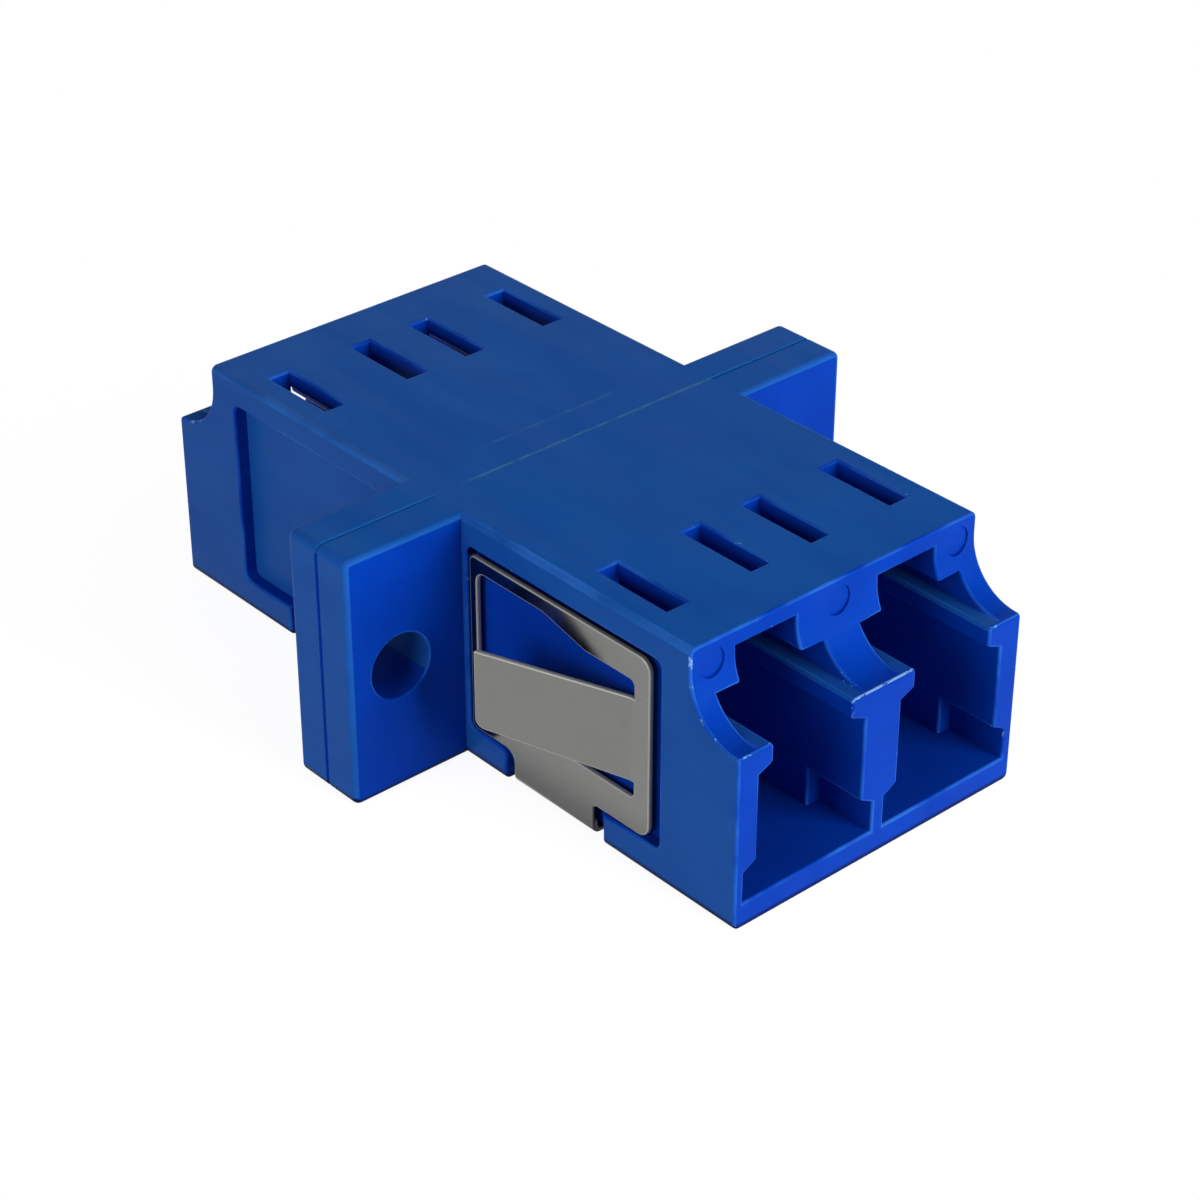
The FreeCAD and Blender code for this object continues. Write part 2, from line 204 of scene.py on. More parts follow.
# The stage: the floor, how strongly it shows the shadow to the eye, and the distances over which that fades
FLOOR_SIDE = 2.0
FLOOR_DROP = 0.02 * MM
SHADOW_SHARE = 0.3
SHADOW_FADE = (12 * MM, 32 * MM)

# The soft lamps and the camera: their places, what they are aimed at, and how near and far the camera sees
LAMP_AIM = (0.0, -2.0 * MM, 4.0 * MM)
LAMP_SIDE = 0.12
KEY_PLACE = (0.048, -0.190, 0.056)
FILL_PLACE = (-0.20, -0.02, 0.07)
CAMERA_AIM = Vector((-1.384, -2.702, 4.657)) * MM
CAMERA_REACH = (0.005, 10.0)
SENSOR_WIDTH = 36.0


def linear(red, green, blue):
    """The linear colour of three display values from 0 to 255."""
    def one(value):
        level = value / 255
        return level / 12.92 if level <= 0.04045 else ((level + 0.055) / 1.055) ** 2.4
    return one(red), one(green), one(blue)


def length(name, description, value):
    """A size in metres that a user may change."""
    return bpy.props.FloatProperty(
        name=name, description=description, default=value, min=0.0, precision=5,
        subtype="DISTANCE", unit="LENGTH",
    )


def colour(name, description, value):
    """A colour that a user may change."""
    return bpy.props.FloatVectorProperty(
        name=name, description=description, default=value, size=3, min=0.0, max=1.0, subtype="COLOR",
    )


def share(name, description, value):
    """A plain number from 0 to 1 that a user may change."""
    return bpy.props.FloatProperty(
        name=name, description=description, default=value, min=0.0, max=1.0, subtype="FACTOR",
    )


def angle(name, description, degrees):
    """An angle that a user may change."""
    return bpy.props.FloatProperty(
        name=name, description=description, default=math.radians(degrees), subtype="ANGLE", unit="ROTATION",
    )


def power(name, description, watts):
    """The power of a lamp."""
    return bpy.props.FloatProperty(name=name, description=description, default=watts, min=0.0, unit="POWER")


class HousingSettings(bpy.types.PropertyGroup):
    """Sizes and colours of the two moulded halves."""
    edge_radius: length("Edge radius", "Radius that the mould leaves on the sharp edges", 0.09 * MM)
    plastic: colour("Plastic", "Colour of the moulded plastic", linear(3, 55, 162))
    deep: colour("Deeper tone", "Tone that the plastic drifts to in soft clouds", linear(3, 51, 154))
    # The top's paler tone is a painted sheen: the light that the upward and downward faces take from the
    # surroundings
    top: colour("Top", "Paler tone of the top and the underside, as the light falls on them", linear(1, 86, 174))
    top_deep: colour("Top, deeper", "Tone that the top drifts to", linear(0, 81, 170))
    # The sides' paler tone is a painted sheen: the light that the sideways faces take from the surroundings
    side: colour("Sides", "Paler tone of the sides and flange ends, as the light falls there", linear(23, 79, 158))
    side_deep: colour("Sides, deeper", "Tone that the sides drift to", linear(20, 74, 154))
    # The broad rounds' and the flange rims' paler tones are painted highlights along those edges
    rounded: colour("Rounded edge", "Tone of the broad rounds along the body", linear(42, 101, 188))
    rim: colour("Flange rim", "Tone of the rounds along the flange", linear(26, 84, 170))
    streak: colour("Streak", "Tone of the bright line that the light draws on a ledge", linear(118, 156, 208))
    # The bright spots on the scoops' edges are painted glints
    sparkle: colour("Sparkle", "Tone of the bright spots on the scoops' edges", linear(120, 165, 225))
    # The weld lines' pale tone is a painted highlight on the line that the weld leaves
    line: colour("Weld line", "Tone of the weld's faint line on top", linear(60, 120, 168))
    # The seam's tone is painted light: set against the light and shade on its broken edge, so that it shows
    # as faintly as the top
    seam: colour("Seam", "Tone of the broken edge along the seam on top of the flange", linear(22, 88, 164))
    # The dark bottom edges are painted shade, where the rounded edges turn down towards the floor
    foot: colour("Bottom edge", "Dark tone of the edges that the adapter stands on", linear(1, 12, 58))
    gap: colour("Gap", "Tone of the shaded gap round the clip", linear(4, 12, 44))
    # One tone for the rubbed marks on the plastic and for the painted highlight on its rounded edges
    wear_and_edge_highlight: colour("Wear and edge highlight", "Tone of the plastic along its edges", linear(34, 92, 186))
    # The small bright spots on the edges are painted glints
    edge_glint: colour("Edge glints", "Tone of the small bright spots along the edges", linear(178, 205, 226))
    tint: colour("Gloss tint", "Tone of the plastic's own gloss", (0.1, 0.5, 0.9))
    gloss: share("Gloss", "Strength of the plastic's gloss", 0.05)
    roughness: share("Roughness", "Mean roughness of the plastic", 0.4)
    grain_size: length("Grain size", "Width of the mould's fine spark-eroded grain", 0.05 * MM)
    grain_depth: length("Grain depth", "Depth of that grain", 0.003 * MM)


class ClipSettings(bpy.types.PropertyGroup):
    """Sizes and colours of the spring clip."""
    edge_radius: length("Edge radius", "Rounding of the tumbled edges of the sheet", 0.055 * MM)
    steel: colour("Steel", "Colour of the rolled face", linear(124, 124, 121))
    cut: colour("Cut edge", "Colour of the sheared edge", linear(158, 158, 155))
    shaded: colour("Shaded foot", "Colour of the foot where it folds under the body", linear(48, 50, 56))
    roughness: share("Roughness", "Mean roughness of the rolled face", 0.16)
    cut_roughness: share("Cut roughness", "Mean roughness of the sheared edge", 0.45)
    cut_metallic: share("Cut metallic", "How far the sheared edge mirrors instead of scattering", 0.4)
    grain_size: length("Grain width", "Width of the rolling lines", 0.035 * MM)
    grain_depth: length("Grain depth", "Depth of the rolling lines", 0.0003 * MM)


class SleeveSettings(bpy.types.PropertyGroup):
    """Colours of the split sleeves."""
    edge_radius: length("Edge radius", "Rounding of the ground edges", 0.015 * MM)
    ceramic: colour("Ceramic", "Colour of the ceramic", linear(232, 229, 220))
    roughness: share("Roughness", "Mean roughness of the ground ceramic", 0.22)
    grain_depth: length("Grain depth", "Depth of the grinding lines", 0.0006 * MM)


class StageSettings(bpy.types.PropertyGroup):
    """Camera, lamps and floor."""
    azimuth: angle("Azimuth", "Turn of the camera round the adapter", -41.6246)
    elevation: angle("Elevation", "Height of the camera above the horizon", 31.7889)
    roll: angle("Roll", "Turn of the camera about its own line of sight", 0.0734)
    distance: length("Distance", "Distance from the camera to its aim", 103.7071 * MM)
    focal_length: bpy.props.FloatProperty(
        name="Focal length", description="Focal length on a 36 mm sensor, in millimetres",
        default=91.981, min=1.0,
    )
    floor: colour("Floor", "Colour of the floor", linear(240, 240, 240))
    key: power("Key lamp", "Power of the soft lamp in front", 0.52)
    fill: power("Fill lamp", "Power of the soft lamp at the left", 0.22)
    sky: share("Sky", "Strength of the light from all round", 0.15)
    glow: share("Glow", "How far the floor is lifted towards white for the eye", 0.9)


# Meshes


def activate(obj):
    """Makes one object the only selected and active one."""
    bpy.ops.object.select_all(action="DESELECT")
    obj.select_set(True)
    bpy.context.view_layer.objects.active = obj


def apply_all(obj):
    """Applies every modifier of an object in order."""
    activate(obj)
    for modifier in list(obj.modifiers):
        bpy.ops.object.modifier_apply(modifier=modifier.name)


def copy_of(node, name):
    """A new piece from a node's mesh, with its loose triangles merged and flat faces made whole."""
    piece = bpy.data.objects.new(name, frame["nodes"][node].data.copy())
    bpy.context.scene.collection.objects.link(piece)
    activate(piece)
    piece.data.materials.clear()
    if piece.data.has_custom_normals:
        bpy.ops.mesh.customdata_custom_splitnormals_clear()
    bpy.ops.object.mode_set(mode="EDIT")
    bpy.ops.mesh.select_all(action="SELECT")
    bpy.ops.mesh.remove_doubles(threshold=MERGED)
    bpy.ops.mesh.dissolve_limited(angle_limit=FLAT_TURN, delimit=set())
    bpy.ops.object.mode_set(mode="OBJECT")
    return piece


def mark_outward_edges(piece, share_at):
    """Marks the sharp edges that stick out with their share of the full radius."""
    shape = bmesh.new()
    shape.from_mesh(piece.data)
    weights = piece.data.attributes.new("bevel_weight_edge", "FLOAT", "EDGE")
    for edge in shape.edges:
        middle = (edge.verts[0].co + edge.verts[1].co) / 2
        if edge.calc_face_angle_signed(0.0) > SHARP_TURN:
            weights.data[edge.index].value = share_at(middle)
    shape.free()


def soften(piece, radius, segments, edge_slot, share_at=lambda middle: 1.0):
    """Rounds a piece's outward edges in a material of their own, and keeps its flat faces flat in shading."""
    mark_outward_edges(piece, share_at)
    bevel = piece.modifiers.new("rounded edges", "BEVEL")
    bevel.width = radius
    bevel.segments = segments
    bevel.limit_method = "WEIGHT"
    bevel.use_clamp_overlap = False
    bevel.loop_slide = False
    bevel.miter_outer = "MITER_SHARP"
    bevel.material = edge_slot
    apply_all(piece)
    bpy.ops.object.shade_smooth_by_angle(angle=SMOOTH_TURN)
    weighted = piece.modifiers.new("even normals", "WEIGHTED_NORMAL")
    weighted.keep_sharp = True
    weighted.weight = 100
    apply_all(piece)


def settle(piece, node, materials):
    """Gives a piece its materials and body, and lets it stand for its node."""
    for material in materials:
        piece.data.materials.append(material)
    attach(piece, "root")
    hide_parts(node)


# Materials


def fresh_material(name):
    """An empty node material with a Principled shader."""
    material = bpy.data.materials.new(name)
    material.use_nodes = True
    tree = material.node_tree
    return material, tree, tree.nodes["Principled BSDF"]


def feed(tree, target, source):
    """Links a socket to another, or sets it where a plain value is given."""
    if isinstance(source, bpy.types.NodeSocket):
        tree.links.new(source, target)
    else:
        target.default_value = source


def object_place(tree):
    """The object coordinates."""
    return tree.nodes.new("ShaderNodeTexCoord").outputs["Object"]


def noise(tree, scale, detail=2.0, roughness=0.5, distortion=0.0):
    """A noise pattern with so many steps in a metre along each axis."""
    mapping = tree.nodes.new("ShaderNodeMapping")
    mapping.inputs["Scale"].default_value = scale
    tree.links.new(object_place(tree), mapping.inputs["Vector"])
    node = tree.nodes.new("ShaderNodeTexNoise")
    node.inputs["Scale"].default_value = 1.0
    node.inputs["Detail"].default_value = detail
    node.inputs["Roughness"].default_value = roughness
    node.inputs["Distortion"].default_value = distortion
    tree.links.new(mapping.outputs["Vector"], node.inputs["Vector"])
    return node.outputs["Fac"]


def remap(tree, value, low, high, to_low=0.0, to_high=1.0):
    """A value moved smoothly from one range to another."""
    node = tree.nodes.new("ShaderNodeMapRange")
    node.interpolation_type = "SMOOTHSTEP"
    for socket, number in (("From Min", low), ("From Max", high), ("To Min", to_low), ("To Max", to_high)):
        node.inputs[socket].default_value = number
    tree.links.new(value, node.inputs["Value"])
    return node.outputs["Result"]


def blend(tree, factor, first, second):
    """Two colours mixed by a factor."""
    node = tree.nodes.new("ShaderNodeMix")
    node.data_type = "RGBA"
    feed(tree, node.inputs["Factor"], factor)
    for socket, value in (("A", first), ("B", second)):
        target = next(s for s in node.inputs if s.name == socket and s.type == "RGBA")
        feed(tree, target, value if isinstance(value, bpy.types.NodeSocket) else (*value, 1.0))
    return next(s for s in node.outputs if s.type == "RGBA")


def bump(tree, height, depth, normal=None):
    """A normal that is tilted by a height pattern."""
    node = tree.nodes.new("ShaderNodeBump")
    node.inputs["Strength"].default_value = 1.0
    node.inputs["Distance"].default_value = depth
    tree.links.new(height, node.inputs["Height"])
    if normal is not None:
        tree.links.new(normal, node.inputs["Normal"])
    return node.outputs["Normal"]


def uneven_gloss(tree, shader, pattern, mean, drift):
    """Lets the roughness drift about its mean with a pattern."""
    below, above = drift
    rough = remap(tree, pattern, *GLOSS_STRETCH, mean + below, mean + above)
    tree.links.new(rough, shader.inputs["Roughness"])


def plastic_material(name, settings, base, deep, mark, marks=FEW_MARKS):
    """Moulded plastic: soft colour clouds, flow lines along the ports, fine grain, and spots of a second
    tone: a few rubbed marks, and painted glints in the edge materials.
    """
    material, tree, shader = fresh_material(name)
    cover, start, fineness = marks
    clouds = noise(tree, CLOUDS, detail=3.0)
    flow = noise(tree, FLOW, detail=4.0, distortion=0.6)
    grain = noise(tree, (1 / settings.grain_size,) * 3)
    # One pattern for the rubbed marks and, in the edge materials, for painted glints
    rub_and_glint = noise(tree, [steps * fineness for steps in RUB_AND_GLINT], detail=4.0, roughness=0.65, distortion=0.8)
    tone = blend(tree, remap(tree, clouds, *TONE_STRETCH), deep, base)
    rubbed_and_glinting = blend(tree, remap(tree, rub_and_glint, start, start + MARK_STRETCH, 0.0, cover), tone, mark)
    tree.links.new(rubbed_and_glinting, shader.inputs["Base Color"])
    uneven_gloss(tree, shader, flow, settings.roughness, PLASTIC_DRIFT)
    uneven = bump(tree, flow, settings.grain_depth)
    tree.links.new(bump(tree, grain, settings.grain_depth, uneven), shader.inputs["Normal"])
    shader.inputs["IOR"].default_value = PLASTIC_IOR
    shader.inputs["Specular IOR Level"].default_value = settings.gloss
    shader.inputs["Specular Tint"].default_value = (*settings.tint, 1.0)
    return material


def arithmetic(tree, operation, *values):
    """A sum, product or other plain operation on values."""
    node = tree.nodes.new("ShaderNodeMath")
    node.operation = operation
    for target, value in zip(node.inputs, values):
        feed(tree, target, value)
    return node.outputs["Value"]


def place_parts(tree):
    """The three object coordinates, each by itself."""
    parts = tree.nodes.new("ShaderNodeSeparateXYZ")
    tree.links.new(object_place(tree), parts.inputs["Vector"])
    return parts.outputs


def repaint(material, factor, new_colour):
    """Mixes a colour over what a material already shows."""
    tree = material.node_tree
    target = tree.nodes["Principled BSDF"].inputs["Base Color"]
    tree.links.new(blend(tree, factor, target.links[0].from_socket, new_colour), target)


def take_gloss(material):
    """Takes a material's own gloss away, as in a hollow that looks away from the light."""
    material.node_tree.nodes["Principled BSDF"].inputs["Specular IOR Level"].default_value = 0.0


def shade_gap(material, gap):
    """Darkens a material in the narrow gap in front of the clip and above it."""
    tree = material.node_tree
    place = place_parts(tree)
    forward = arithmetic(tree, "MULTIPLY", place["Y"], -1.0)
    in_front = remap(tree, forward, *GAP_FRONT, 0.0, FRONT_GAP_SHARE)
    above = remap(tree, place["Z"], *GAP_TOP)
    repaint(material, arithmetic(tree, "MAXIMUM", in_front, above), gap)


def shade_low(material, low, high, strength, shade):
    """Lets a material fall into shade towards the floor, fully below one height and not above another."""
    tree = material.node_tree
    repaint(material, remap(tree, place_parts(tree)["Z"], low, high, strength, 0.0), shade)


def draw_weld_lines(material, line):
    """Draws the faint broken lines that the weld and the flange leave on top, painted pale as the highlight
    they catch.
    """
    tree = material.node_tree
    place = place_parts(tree)
    broken = remap(tree, noise(tree, BREAKS, detail=3.0), *BREAK_STRETCH, BREAK_SHARE, 1.0)
    on_top = remap(tree, place["Z"], HEIGHT - 2 * SLACK, HEIGHT - SLACK)
    for behind, left, right, strength in WELD_LINES:
        away = arithmetic(tree, "ABSOLUTE", arithmetic(tree, "SUBTRACT", place["Y"], behind))
        factor = remap(tree, away, *LINE_WIDTH, strength, 0.0)
        starts = remap(tree, place["X"], left - LINE_END, left + LINE_END)
        stops = remap(tree, place["X"], right - LINE_END, right + LINE_END, 1.0, 0.0)
        for part in (starts, stops, broken, on_top):
            factor = arithmetic(tree, "MULTIPLY", factor, part)
        repaint(material, factor, line)


def steel_material(name, settings, base, roughness, metallic=1.0):
    """Rolled stainless sheet: fine lines along the strip, faint stains and slightly uneven gloss."""
    material, tree, shader = fresh_material(name)
    across = 1 / settings.grain_size
    lines = noise(tree, (across, across / ROLLED_LENGTH, across), detail=3.0, roughness=0.6)
    stains = noise(tree, STAINS, detail=4.0, distortion=0.8)
    darker = [part * STAIN_TONE for part in base]
    tone = blend(tree, remap(tree, lines, *TONE_STRETCH), darker, base)
    stained = blend(tree, remap(tree, stains, *STAIN_STRETCH, 0.0, STAIN_SHARE), tone, darker)
    tree.links.new(stained, shader.inputs["Base Color"])
    uneven_gloss(tree, shader, stains, roughness, STEEL_DRIFT)
    tree.links.new(bump(tree, lines, settings.grain_depth), shader.inputs["Normal"])
    shader.inputs["Metallic"].default_value = metallic
    return material


def ceramic_material(name, settings):
    """Ground ceramic: off-white with a faint speckle and fine grinding lines round the tube."""
    material, tree, shader = fresh_material(name)
    speckle = noise(tree, SPECKLE, detail=3.0)
    lines = noise(tree, GRINDING)
    darker = [part * SPECKLE_TONE for part in settings.ceramic]
    tone = blend(tree, remap(tree, speckle, *SPECKLE_STRETCH), settings.ceramic, darker)
    tree.links.new(tone, shader.inputs["Base Color"])
    uneven_gloss(tree, shader, lines, settings.roughness, CERAMIC_DRIFT)
    tree.links.new(bump(tree, lines, settings.grain_depth), shader.inputs["Normal"])
    return material


# Pieces


def between(value, limits):
    """Whether a value lies between two limits."""
    return limits[0] < value < limits[1]


def on_scoop(place):
    """Whether a place is on the scooped end of a half."""
    return abs(place.y) > SCOOP_BACK and SCOOP_BOTTOM < place.z < HEIGHT - ROUND_ZONE


def is_outer_face(polygon, side):
    """Whether a face is on the outside of a half: top, underside, sides and ends of the flange."""
    across, height = abs(polygon.center.x), polygon.center.z
    level = abs(polygon.normal.z) > SQUARE and not SLACK < height < HEIGHT - SLACK
    upright = abs(polygon.normal.x) > SQUARE and across > side
    return level or upright


def is_round(polygon):
    """Whether a face belongs to a broad round where two outer faces meet."""
    across, along, height = abs(polygon.center.x), abs(polygon.center.y), polygon.center.z
    depths = (height, HEIGHT - height, BODY_SIDE - across, FLANGE_FACE - along, FLANGE_END - across)
    near = sum(-SLACK < depth < ROUND_ZONE for depth in depths)
    return near > 1 and max(abs(part) for part in polygon.normal) < TURNED


def is_streak(polygon):
    """Whether a face is the strip of the front ledges' rounds that throws the light back."""
    at_front = MOUTH_FRONT + polygon.center.y < LEDGE_ZONE
    at_top = abs(LEDGE_TOP - polygon.center.z) < LEDGE_ZONE
    return at_front and at_top and between(polygon.normal.z, STREAK_TILT) and abs(polygon.normal.x) < ASIDE


def is_rail_top(polygon):
    """Whether a face is on the upper side of a guide rail, which takes the sides' tone as painted light to
    show as pale as the outside.
    """
    at_top = abs(LEDGE_TOP - polygon.center.z) < LEDGE_ZONE
    return at_top and polygon.normal.z > TILTED and abs(polygon.normal.y) < RAIL_TILT


def is_rear_scoop(polygon):
    """Whether a face is in the hollow of the rear mouth's scoops, which takes a pale tone as painted light.
    """
    return polygon.center.y > 0 and on_scoop(polygon.center) and polygon.normal.z > TILTED


def is_foot(polygon):
    """Whether a face is a rounded edge just above the floor, which is painted in shade."""
    return polygon.center.z < ROUND_ZONE and ASIDE < -polygon.normal.z < TURNED


def is_seam(polygon):
    """Whether a face is the seam's broken edge on top of the flange."""
    return abs(polygon.center.y) < SEAM_ZONE and between(polygon.normal.z, SEAM_TILT)


def tone_of(polygon, side):
    """The number of the material of one face."""
    across, forward = abs(polygon.center.x), -polygon.center.y
    # The seam's broken edge takes a tone set for the light it catches, as painted light
    if is_seam(polygon):
        return SEAM
    # A ledge's round takes the painted streak of light at the pier, and the scoops' painted glints beside it
    if is_streak(polygon):
        return STREAK if across < PIER else SCOOP
    if is_foot(polygon):
        return FOOT_EDGE
    # The rails' upper sides take the sides' tone as painted light
    if is_rail_top(polygon):
        return SIDE
    if is_rear_scoop(polygon):
        return HOLLOW
    # Broad rounds and the flange's rims take tones with a painted highlight
    if is_round(polygon):
        return ROUND if across < BODY_SIDE and abs(polygon.normal.y) < ASIDE else RIM
    # Outer faces take the top's or the sides' tone, a painted sheen chosen by the way each face turns to the
    # light
    if is_outer_face(polygon, side):
        return SIDE if abs(polygon.normal.x) > SQUARE else TOP
    beside_clip = POCKETS_BARE < across < BODY_SIDE - SLACK and FLANGE_FACE < forward < GAP_END
    return POCKET if beside_clip else PLAIN


def sparkles(place):
    """Whether an edge there has painted glints: on the outer walls' scoops and at the pier's head."""
    outer = abs(place.x) > POCKETS_BARE
    pier = abs(place.x) < PIER and place.z < LEDGE_TOP + LEDGE_ZONE
    return on_scoop(place) and (outer or pier)


def on_mark(place):
    """Whether a place is on an ejector pin's mark in the face of a mouth."""
    in_face = abs(abs(place.y) - MOUTH) < MARK_ZONE and place.z > MARK_BOTTOM
    return in_face and any(math.hypot(place.x - x, place.z - MARK_HEIGHT) < MARK_REACH for x in MARK_PLACES)


def housing_share(middle):
    """The share of the full radius at a place: none at the seam and on a mark, less at a screw hole."""
    if abs(middle.y) < SEAM_ZONE or on_mark(middle):
        return 0.0
    at_hole = math.hypot(abs(middle.x) - HOLE_PLACE, middle.z - HOLE_HEIGHT) < HOLE_REACH
    return HOLE_SHARE if at_hole else 1.0


class ADAPTER_OT_housing_halves(bpy.types.Operator):
    """Makes the two moulded halves with rounded mould edges"""
    bl_idname = "adapter.housing_halves"
    bl_label = "Housing halves"

    def execute(self, context):
        settings = context.scene.adapter_housing
        wear_and_edge_highlight = settings.wear_and_edge_highlight
        tones = (
            ("moulded plastic", settings.plastic, settings.deep, wear_and_edge_highlight),
            ("moulded edge", wear_and_edge_highlight, settings.plastic, settings.edge_glint, EDGE_GLINTS),
            ("top plastic", settings.top, settings.top_deep, wear_and_edge_highlight),
            ("side plastic", settings.side, settings.side_deep, wear_and_edge_highlight),
            ("rounded plastic", settings.rounded, settings.side, wear_and_edge_highlight),
            ("flange rim", settings.rim, settings.side, wear_and_edge_highlight),
            ("ledge streak", wear_and_edge_highlight, settings.plastic, settings.streak, STREAK_GLINTS),
            ("seam edge", settings.seam, settings.seam, wear_and_edge_highlight),
            ("pocket plastic", settings.plastic, settings.deep, wear_and_edge_highlight),
            ("scoop edge", wear_and_edge_highlight, settings.plastic, settings.sparkle, SCOOP_GLINTS),
            ("bottom edge", settings.foot, settings.foot, settings.deep),
            # The rear scoops' hollow takes the rounds' pale tone, painted light that stands for the light
            # falling into it
            ("hollow plastic", settings.rounded, settings.side, wear_and_edge_highlight),
        )
        materials = [plastic_material(name, settings, *tone) for name, *tone in tones]
        draw_weld_lines(materials[TOP], settings.line)
        shade_gap(materials[POCKET], settings.gap)
        take_gloss(materials[HOLLOW])
        for number, low, high in BOTTOM_SHADES:
            shade_low(materials[number], low, high, BOTTOM_SHARE, settings.foot)
        for node, name, side in (
            ("front_housing", "front_half", POCKETS_FILLED),
            ("rear_housing", "rear_half", POCKETS_BARE),
        ):
            piece = copy_of(node, name)
            settle(piece, node, materials)
            for polygon in piece.data.polygons:
                polygon.material_index = tone_of(polygon, side)
            # The rounded edges take the edge material, whose pale tone is a painted highlight
            soften(piece, settings.edge_radius, segments=3, edge_slot=EDGE, share_at=housing_share)
            # Rounded edges on the scoops take painted glints, and those just above the floor painted shade
            for polygon in piece.data.polygons:
                if polygon.material_index == EDGE and sparkles(polygon.center):
                    polygon.material_index = SCOOP
                elif polygon.material_index == EDGE and is_foot(polygon):
                    polygon.material_index = FOOT_EDGE
        return {"FINISHED"}


def is_cut(polygon):
    """Whether a face of the clip is a sheared edge of the sheet."""
    on_band = polygon.center.z < FOLD and abs(polygon.normal.z) > BAND_TILT
    return abs(polygon.normal.x) < CUT_TILT and not on_band


def in_shade(polygon):
    """Whether a face of the clip is on the fold, or is the front edge of the foot."""
    at_fold = polygon.center.z < FOLD and between(abs(polygon.normal.x), FOLD_TILT)
    at_front = polygon.center.z < FOOT and -polygon.normal.y > TILTED and -polygon.center.y < WEB_FRONT
    return at_fold or at_front


class ADAPTER_OT_spring_clip(bpy.types.Operator):
    """Makes the folded steel clip with tumbled edges and sheared edge faces"""
    bl_idname = "adapter.spring_clip"
    bl_label = "Spring clip"

    def execute(self, context):
        settings = context.scene.adapter_clip
        face = steel_material("rolled steel", settings, settings.steel, settings.roughness)
        edge = steel_material(
            "sheared steel edge", settings, settings.cut, settings.cut_roughness, settings.cut_metallic
        )
        shaded = steel_material("shaded steel", settings, settings.shaded, settings.roughness)
        # Painted shade on the clip's face, deepening towards the foot
        shade_low(face, *WEB_SHADE, WEB_SHARE, settings.shaded)
        piece = copy_of("spring_clip", "panel_clip")
        settle(piece, "spring_clip", [face, edge, shaded])
        for polygon in piece.data.polygons:
            polygon.material_index = CUT if is_cut(polygon) else FACE
        soften(piece, settings.edge_radius, segments=3, edge_slot=CUT)
        for polygon in piece.data.polygons:
            if in_shade(polygon):
                polygon.material_index = SHADED
        return {"FINISHED"}


class ADAPTER_OT_split_sleeves(bpy.types.Operator):
    """Makes the two ceramic sleeves that line the ferrules up"""
    bl_idname = "adapter.split_sleeves"
    bl_label = "Split sleeves"

    def execute(self, context):
        settings = context.scene.adapter_sleeves
        ceramic = ceramic_material("ground ceramic", settings)
        for side in ("left", "right"):
            node = "split_sleeve_" + side
            piece = copy_of(node, "sleeve_" + side)
            settle(piece, node, [ceramic])
            soften(piece, settings.edge_radius, segments=2, edge_slot=0)
        return {"FINISHED"}


# Stage


def area_lamp(name, place, watts):
    """A square soft lamp at a place, pointed at the adapter."""
    data = bpy.data.lights.new(name, "AREA")
    data.shape = "SQUARE"
    data.size = LAMP_SIDE
    data.energy = watts
    lamp = bpy.data.objects.new(name, data)
    lamp.location = place
    lamp.rotation_euler = (Vector(LAMP_AIM) - Vector(place)).to_track_quat("-Z", "Y").to_euler()
    bpy.context.scene.collection.objects.link(lamp)


def mixed_shader(tree, factor, first, second):
    """Two shaders mixed by a factor."""
    node = tree.nodes.new("ShaderNodeMixShader")
    for target, source in zip(node.inputs, (factor, first, second)):
        tree.links.new(source, target)
    return node.outputs["Shader"]


def white_to_the_eye(tree, behind, white):
    """A shader that is white to the camera and in mirrors, and another one to all other rays."""
    path = tree.nodes.new("ShaderNodeLightPath")
    seen = path.outputs["Is Camera Ray"]
    for ray in ("Is Glossy Ray", "Is Transmission Ray"):
        seen = arithmetic(tree, "MAXIMUM", seen, path.outputs[ray])
    return mixed_shader(tree, seen, behind, white)


def matt_shader(tree, tone):
    """A matt shader of one tone."""
    node = tree.nodes.new("ShaderNodeBsdfDiffuse")
    node.inputs["Color"].default_value = (*tone, 1.0)
    return node.outputs["BSDF"]


def white_glow(tree, strength):
    """A shader that gives off white."""
    node = tree.nodes.new("ShaderNodeEmission")
    node.inputs["Strength"].default_value = strength
    return node.outputs["Emission"]


def white_sky(node, strength):
    """The light of a world's background node, set to white."""
    node.inputs["Color"].default_value = (1.0, 1.0, 1.0, 1.0)
    node.inputs["Strength"].default_value = strength
    return node.outputs["Background"]


def floor_material(tone, lift):
    """Pale matt floor that shows the adapter's shadow to the eye close by, and is white further out."""
    material, tree, _ = fresh_material("pale floor")
    tree.nodes.clear()
    near = tree.nodes.new("ShaderNodeAddShader")
    tree.links.new(matt_shader(tree, [part * SHADOW_SHARE for part in tone]), near.inputs[0])
    tree.links.new(white_glow(tree, lift), near.inputs[1])
    distance = tree.nodes.new("ShaderNodeVectorMath")
    distance.operation = "LENGTH"
    tree.links.new(object_place(tree), distance.inputs[0])
    away = remap(tree, distance.outputs["Value"], *SHADOW_FADE)
    seen = mixed_shader(tree, away, near.outputs["Shader"], white_glow(tree, 1.0))
    output = tree.nodes.new("ShaderNodeOutputMaterial")
    tree.links.new(white_to_the_eye(tree, matt_shader(tree, tone), seen), output.inputs["Surface"])
    return material


def studio_world(strength):
    """A world that lights the adapter evenly from all round and is white to the eye."""
    world = bpy.data.worlds.new("studio")
    world.use_nodes = True
    tree = world.node_tree
    light = white_sky(tree.nodes["Background"], strength)
    white = white_sky(tree.nodes.new("ShaderNodeBackground"), 1.0)
    tree.links.new(white_to_the_eye(tree, light, white), tree.nodes["World Output"].inputs["Surface"])
    return world


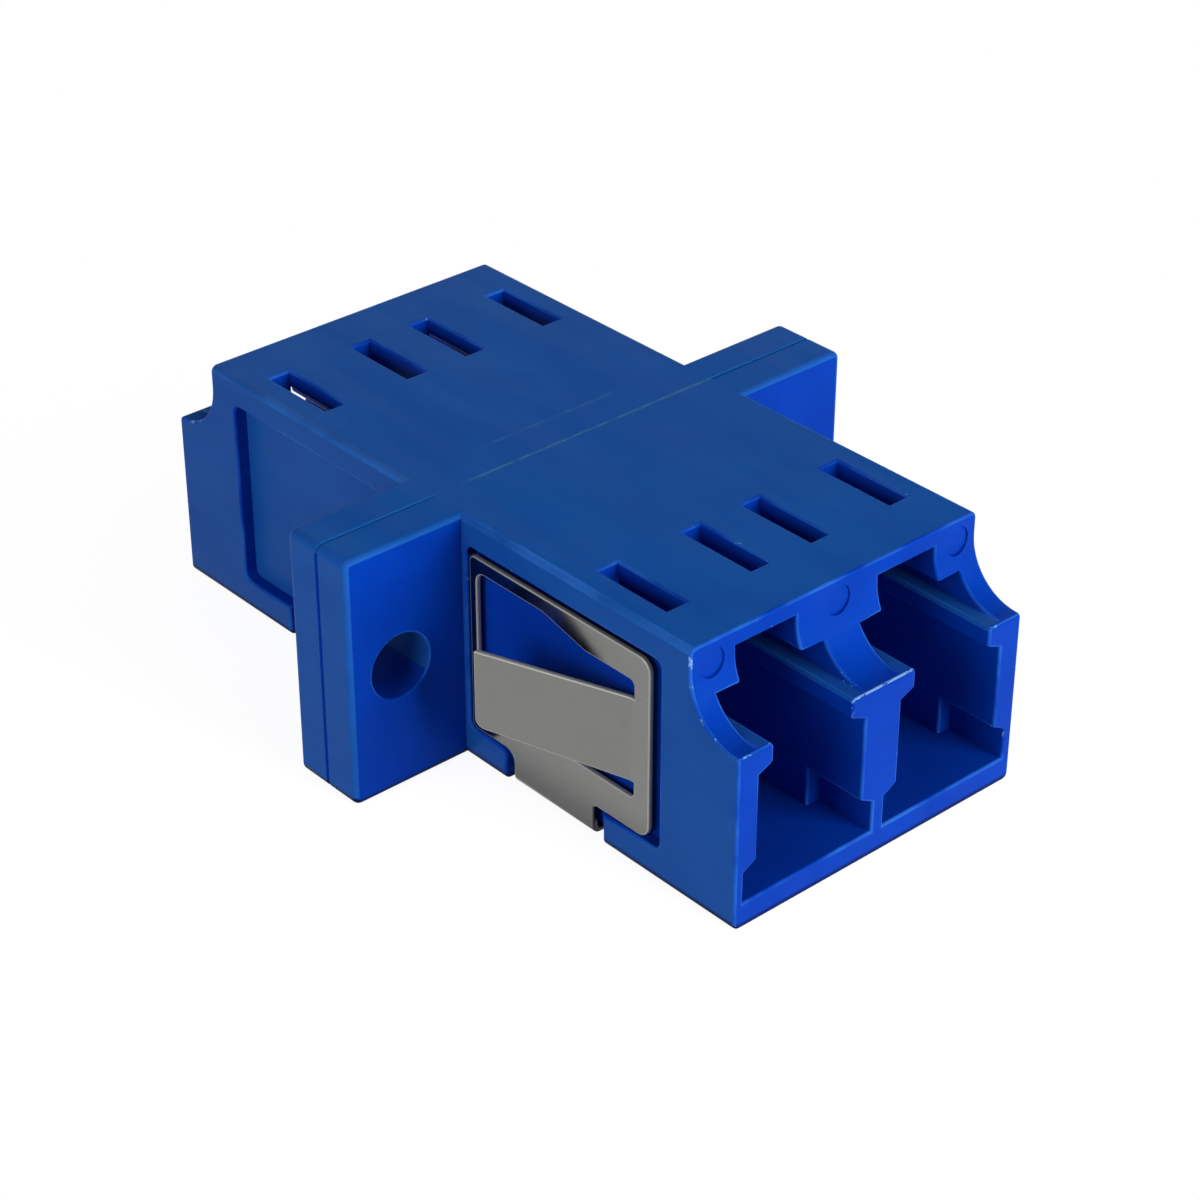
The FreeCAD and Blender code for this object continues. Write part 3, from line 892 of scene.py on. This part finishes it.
def studio_camera(settings):
    """The camera, at its angles and distance from its aim."""
    around, up = settings.azimuth, settings.elevation
    back = Vector((math.sin(around) * math.cos(up), -math.cos(around) * math.cos(up), math.sin(up)))
    data = bpy.data.cameras.new("camera")
    data.sensor_width = SENSOR_WIDTH
    data.lens = settings.focal_length
    data.clip_start, data.clip_end = CAMERA_REACH
    camera = bpy.data.objects.new("camera", data)
    camera.location = CAMERA_AIM + back * settings.distance
    turn = (-back).to_track_quat("-Z", "Y").to_matrix() @ Matrix.Rotation(settings.roll, 3, "Z")
    camera.rotation_euler = turn.to_euler()
    return camera


class ADAPTER_OT_stage(bpy.types.Operator):
    """Sets the pale floor, the soft lamps and the camera"""
    bl_idname = "adapter.stage"
    bl_label = "Stage"

    def execute(self, context):
        settings = context.scene.adapter_stage
        scene = context.scene
        bpy.ops.object.select_all(action="DESELECT")
        bpy.ops.mesh.primitive_plane_add(size=FLOOR_SIDE, location=(0.0, 0.0, -FLOOR_DROP))
        floor = context.object
        floor.name = "floor"
        floor.data.materials.append(floor_material(settings.floor, settings.glow))
        scene.world = studio_world(settings.sky)
        area_lamp("key lamp", KEY_PLACE, settings.key)
        area_lamp("fill lamp", FILL_PLACE, settings.fill)
        camera = studio_camera(settings)
        scene.collection.objects.link(camera)
        scene.camera = camera
        scene.view_settings.view_transform = "Standard"
        return {"FINISHED"}


class ADAPTER_PT_sidebar(bpy.types.Panel):
    """Lists the adapter's pieces, sizes and colours"""
    bl_idname = "ADAPTER_PT_sidebar"
    bl_label = "Fibre adapter"
    bl_space_type = "VIEW_3D"
    bl_region_type = "UI"
    bl_category = "Adapter"

    def draw(self, context):
        for operator, group in STEPS:
            box = self.layout.box()
            box.operator(operator.bl_idname)
            settings = getattr(context.scene, group)
            for name in settings.bl_rna.properties.keys():
                if name not in ("rna_type", "name"):
                    box.prop(settings, name)


GROUPS = {
    "adapter_housing": HousingSettings,
    "adapter_clip": ClipSettings,
    "adapter_sleeves": SleeveSettings,
    "adapter_stage": StageSettings,
}
STEPS = (
    (ADAPTER_OT_housing_halves, "adapter_housing"),
    (ADAPTER_OT_spring_clip, "adapter_clip"),
    (ADAPTER_OT_split_sleeves, "adapter_sleeves"),
    (ADAPTER_OT_stage, "adapter_stage"),
)
CLASSES = (*GROUPS.values(), *(operator for operator, _ in STEPS), ADAPTER_PT_sidebar)


def register():
    """Makes the classes and their settings known."""
    for cls in CLASSES:
        bpy.utils.register_class(cls)
    for name, group in GROUPS.items():
        setattr(bpy.types.Scene, name, bpy.props.PointerProperty(type=group))


def unregister():
    """Takes the settings and classes away again."""
    for name in GROUPS:
        delattr(bpy.types.Scene, name)
    for cls in reversed(CLASSES):
        bpy.utils.unregister_class(cls)


def main():
    """Makes every piece and the stage."""
    register()
    bpy.ops.adapter.housing_halves()
    bpy.ops.adapter.spring_clip()
    bpy.ops.adapter.split_sleeves()
    bpy.ops.adapter.stage()


if __name__ == "__main__":
    main()
